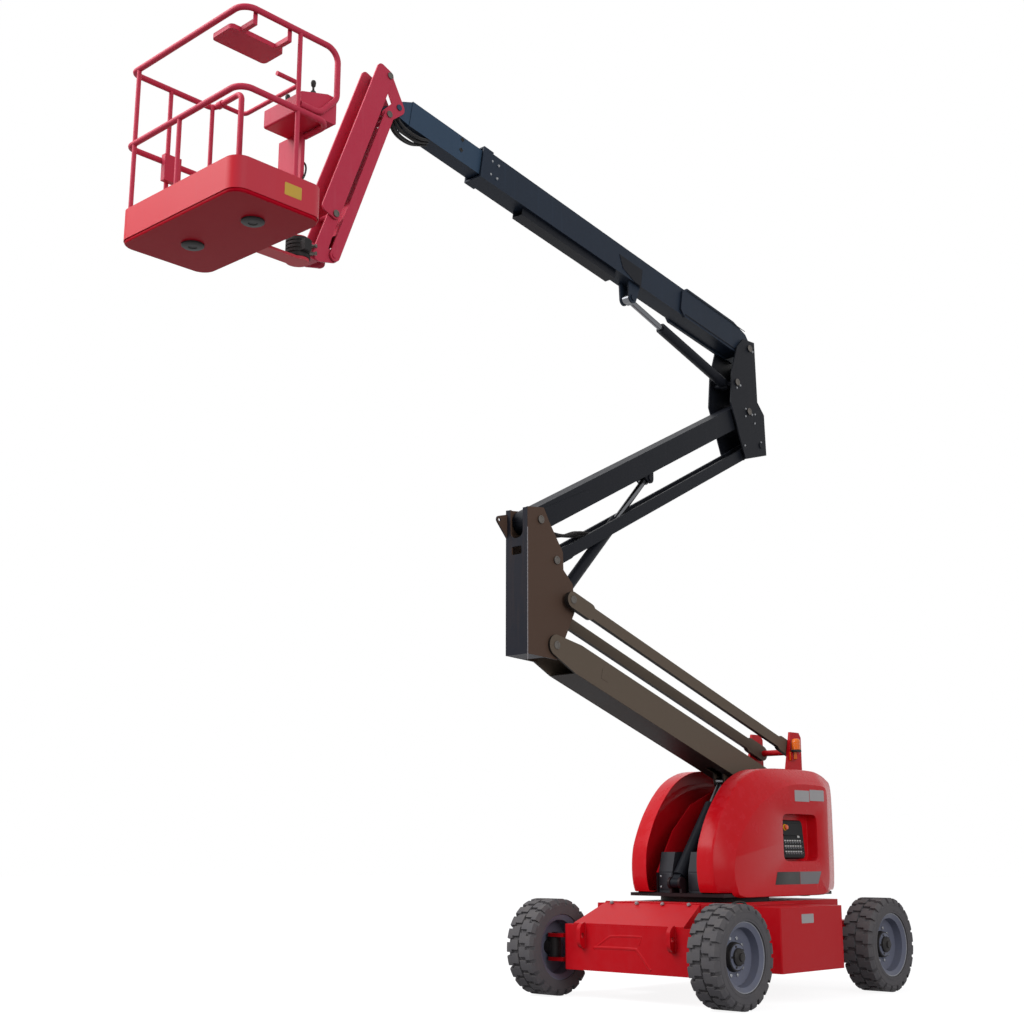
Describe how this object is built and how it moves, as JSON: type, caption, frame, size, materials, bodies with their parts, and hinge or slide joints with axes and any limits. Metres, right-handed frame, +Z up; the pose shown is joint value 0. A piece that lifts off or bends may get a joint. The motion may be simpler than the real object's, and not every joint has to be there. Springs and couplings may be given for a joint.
{
  "type": "articulating boom lift",
  "caption": "Electric articulating boom lift with a double riser, telescopic main boom, jib and rotating work platform on four wheels.",
  "frame": {"origin": "on the ground, in the middle of the raised machine's box seen from above", "axes": "+X towards the steered end and the platform, +Y the machine's left side, +Z up"},
  "size_m": [6.6258, 1.934, 6.3147],
  "materials": {
    "red_paint": "gloss",
    "black_paint": "satin",
    "dark_unit": "satin",
    "rim_paint": "satin",
    "grey_tyre": "matte",
    "weights": "rough",
    "steel": "satin",
    "rod_chrome": "polished",
    "black_plastic": "matte",
    "cover_plastic": "gloss",
    "amber": "gloss"
  },
  "bodies": {
    "chassis": {"chassis_frame": "red_paint", "front_beam": "red_paint", "rear_beam": "red_paint", "chassis_hood": "red_paint", "side_box_left": "red_paint", "side_box_right": "red_paint", "drive_batteries": "weights", "slew_ring": "steel"},
    "knuckle_left": {"knuckle_left": "steel"},
    "knuckle_right": {"knuckle_right": "steel"},
    "wheel_front_left": {"rim_front_left": "rim_paint", "tyre_front_left": "grey_tyre"},
    "wheel_front_right": {"rim_front_right": "rim_paint", "tyre_front_right": "grey_tyre"},
    "wheel_rear_left": {"rim_rear_left": "rim_paint", "tyre_rear_left": "grey_tyre"},
    "wheel_rear_right": {"rim_rear_right": "rim_paint", "tyre_rear_right": "grey_tyre"},
    "turntable": {"turntable_frame": "red_paint", "counterweight": "weights", "pump_unit": "dark_unit", "slot_block": "dark_unit", "beacon": "amber"},
    "cover_left": {"cover_left": "cover_plastic", "ground_control": "black_plastic"},
    "cover_right": {"cover_right": "cover_plastic"},
    "lower_barrel": {"lower_barrel": "black_paint"},
    "lower_rod": {"lower_rod": "rod_chrome"},
    "lower_boom": {"lower_boom": "black_paint"},
    "lower_links": {"lower_links": "black_paint"},
    "mid_upright": {"mid_upright": "black_paint"},
    "riser_boom": {"riser_boom": "black_paint"},
    "riser_links": {"riser_links": "black_paint"},
    "riser_barrel": {"riser_barrel": "black_paint"},
    "riser_rod": {"riser_rod": "rod_chrome"},
    "upper_upright": {"upper_upright": "black_paint"},
    "main_boom": {"main_boom": "black_paint", "hose_tray": "black_plastic"},
    "main_barrel": {"main_barrel": "black_paint"},
    "main_rod": {"main_rod": "rod_chrome"},
    "fly_boom": {"fly_boom": "black_paint"},
    "jib_base": {"jib_base": "red_paint"},
    "jib_upper_arm": {"jib_upper_arm": "red_paint"},
    "jib_lower_arm": {"jib_lower_arm": "red_paint"},
    "jib_head": {"jib_head": "red_paint", "rotator": "black_plastic"},
    "platform": {"platform_carrier": "red_paint", "platform_floor": "red_paint", "top_rail": "red_paint", "mid_rail": "red_paint", "rail_posts": "red_paint", "platform_shelf": "red_paint", "control_console": "red_paint", "console_stand": "red_paint", "document_box": "red_paint"},
    "entry_bar": {"entry_bar": "red_paint"}
  },
  "joints": [
    {"name": "steer_left", "type": "hinge", "parent": "chassis", "child": "knuckle_left", "pos_m": [-0.93788, 0.78, 0.355], "axis": [0, 0, 1], "range_deg": [-35, 35]},
    {"name": "steer_right", "type": "hinge", "parent": "chassis", "child": "knuckle_right", "pos_m": [-0.93788, -0.78, 0.355], "axis": [0, 0, 1], "range_deg": [-35, 35]},
    {"name": "wheel_front_left_spin", "type": "hinge", "parent": "knuckle_left", "child": "wheel_front_left", "pos_m": [-0.93788, 0.837, 0.355], "axis": [0, 1, 0], "continuous": true},
    {"name": "wheel_front_right_spin", "type": "hinge", "parent": "knuckle_right", "child": "wheel_front_right", "pos_m": [-0.93788, -0.837, 0.355], "axis": [0, 1, 0], "continuous": true},
    {"name": "wheel_rear_left_spin", "type": "hinge", "parent": "chassis", "child": "wheel_rear_left", "pos_m": [-2.95788, 0.837, 0.355], "axis": [0, 1, 0], "continuous": true},
    {"name": "wheel_rear_right_spin", "type": "hinge", "parent": "chassis", "child": "wheel_rear_right", "pos_m": [-2.95788, -0.837, 0.355], "axis": [0, 1, 0], "continuous": true},
    {"name": "slew", "type": "hinge", "parent": "chassis", "child": "turntable", "pos_m": [-1.94788, 0, 0.73], "axis": [0, 0, 1], "range_deg": [-177.5, 177.5]},
    {"name": "cover_left_lid", "type": "hinge", "parent": "turntable", "child": "cover_left", "pos_m": [-1.94788, 0.24, 1.595], "axis": [1, 0, 0], "range_deg": [0, 60]},
    {"name": "cover_right_lid", "type": "hinge", "parent": "turntable", "child": "cover_right", "pos_m": [-1.94788, -0.24, 1.595], "axis": [-1, 0, 0], "range_deg": [0, 60]},
    {"name": "lower_boom_lift", "type": "hinge", "parent": "turntable", "child": "lower_boom", "pos_m": [-2.77988, 0, 1.544], "axis": [0, -1, 0], "range_deg": [-17, 42]},
    {"name": "lower_links_follow", "type": "hinge", "parent": "turntable", "child": "lower_links", "pos_m": [-2.91188, 0, 1.881], "axis": [0, -1, 0], "range_deg": [-17, 42]},
    {"name": "mid_upright_level", "type": "hinge", "parent": "lower_boom", "child": "mid_upright", "pos_m": [0.0491, 0, 2.48508], "axis": [0, -1, 0], "range_deg": [-42, 17]},
    {"name": "riser_lift", "type": "hinge", "parent": "mid_upright", "child": "riser_boom", "pos_m": [0.1991, 0, 3.37508], "axis": [0, 1, 0], "range_deg": [-25, 42]},
    {"name": "riser_links_follow", "type": "hinge", "parent": "mid_upright", "child": "riser_links", "pos_m": [0.0301, 0, 3.10308], "axis": [0, 1, 0], "range_deg": [-25, 42]},
    {"name": "upper_upright_level", "type": "hinge", "parent": "riser_boom", "child": "upper_upright", "pos_m": [-2.49496, 0, 4.7835], "axis": [0, 1, 0], "range_deg": [-42, 25]},
    {"name": "main_boom_lift", "type": "hinge", "parent": "upper_upright", "child": "main_boom", "pos_m": [-2.53796, 0, 5.3705], "axis": [0, -1, 0], "range_deg": [-14, 65]},
    {"name": "telescope", "type": "slide", "parent": "main_boom", "child": "fly_boom", "axis": [0.9869, 0, 0.1616], "range_m": [-0.45, 1.4]},
    {"name": "jib_base_level", "type": "hinge", "parent": "fly_boom", "child": "jib_base", "pos_m": [1.60703, 0, 6.06041], "axis": [0, -1, 0], "range_deg": [-65, 14]},
    {"name": "jib_lift", "type": "hinge", "parent": "jib_base", "child": "jib_upper_arm", "pos_m": [1.71203, 0, 6.25241], "axis": [0, -1, 0], "range_deg": [-3, 130]},
    {"name": "jib_lower_arm_follow", "type": "hinge", "parent": "jib_base", "child": "jib_lower_arm", "pos_m": [1.71203, 0, 5.96241], "axis": [0, -1, 0], "range_deg": [-3, 130]},
    {"name": "jib_head_level", "type": "hinge", "parent": "jib_upper_arm", "child": "jib_head", "pos_m": [2.15388, 0, 5.08311], "axis": [0, -1, 0], "range_deg": [-130, 3]},
    {"name": "entry_bar_lift", "type": "hinge", "parent": "platform", "child": "entry_bar", "pos_m": [2.67488, -0.5, 5.86811], "axis": [0, 1, 0], "range_deg": [0, 75]},
    {"name": "platform_rotate", "type": "hinge", "parent": "jib_head", "child": "platform", "pos_m": [2.38188, 0, 4.78511], "axis": [0, 0, 1], "range_deg": [-80, 80]},
    {"name": "lower_barrel_swing", "type": "hinge", "parent": "turntable", "child": "lower_barrel", "pos_m": [-1.45788, 0, 0.83], "axis": [0, -1, 0], "range_deg": [-7.64, 3.39]},
    {"name": "lower_rod_extend", "type": "slide", "parent": "lower_barrel", "child": "lower_rod", "axis": [-0.6308, 0, 0.7759], "range_m": [-0.1754, 0.4304]},
    {"name": "riser_barrel_swing", "type": "hinge", "parent": "mid_upright", "child": "riser_barrel", "pos_m": [-0.0829, 0, 2.82208], "axis": [0, -1, 0], "range_deg": [-35.57, 21.38]},
    {"name": "riser_rod_extend", "type": "slide", "parent": "riser_barrel", "child": "riser_rod", "axis": [-0.6934, 0, 0.7206], "range_m": [-0.241, 0.4036]},
    {"name": "main_barrel_swing", "type": "hinge", "parent": "upper_upright", "child": "main_barrel", "pos_m": [-2.32796, 0, 5.0105], "axis": [0, -1, 0], "range_deg": [-13.8, 62.25]},
    {"name": "main_rod_extend", "type": "slide", "parent": "main_barrel", "child": "main_rod", "axis": [0.9562, 0, 0.2927], "range_m": [-0.098, 0.4479]}
  ],
  "couplings": [
    {"joint": "steer_right", "follows": "steer_left", "ratio": 1},
    {"joint": "lower_links_follow", "follows": "lower_boom_lift", "ratio": 1},
    {"joint": "mid_upright_level", "follows": "lower_boom_lift", "ratio": -1},
    {"joint": "riser_links_follow", "follows": "riser_lift", "ratio": 1},
    {"joint": "upper_upright_level", "follows": "riser_lift", "ratio": -1},
    {"joint": "jib_base_level", "follows": "main_boom_lift", "ratio": -1},
    {"joint": "jib_lower_arm_follow", "follows": "jib_lift", "ratio": 1},
    {"joint": "jib_head_level", "follows": "jib_lift", "ratio": -1},
    {"joint": "lower_barrel_swing", "follows": "lower_boom_lift", "ratio": -0.17},
    {"joint": "lower_rod_extend", "follows": "lower_boom_lift", "m_per_rad": 0.58436},
    {"joint": "riser_barrel_swing", "follows": "riser_lift", "ratio": -0.835},
    {"joint": "riser_rod_extend", "follows": "riser_lift", "m_per_rad": 0.54786},
    {"joint": "main_barrel_swing", "follows": "main_boom_lift", "ratio": 0.95},
    {"joint": "main_rod_extend", "follows": "main_boom_lift", "m_per_rad": 0.39305}
  ]
}
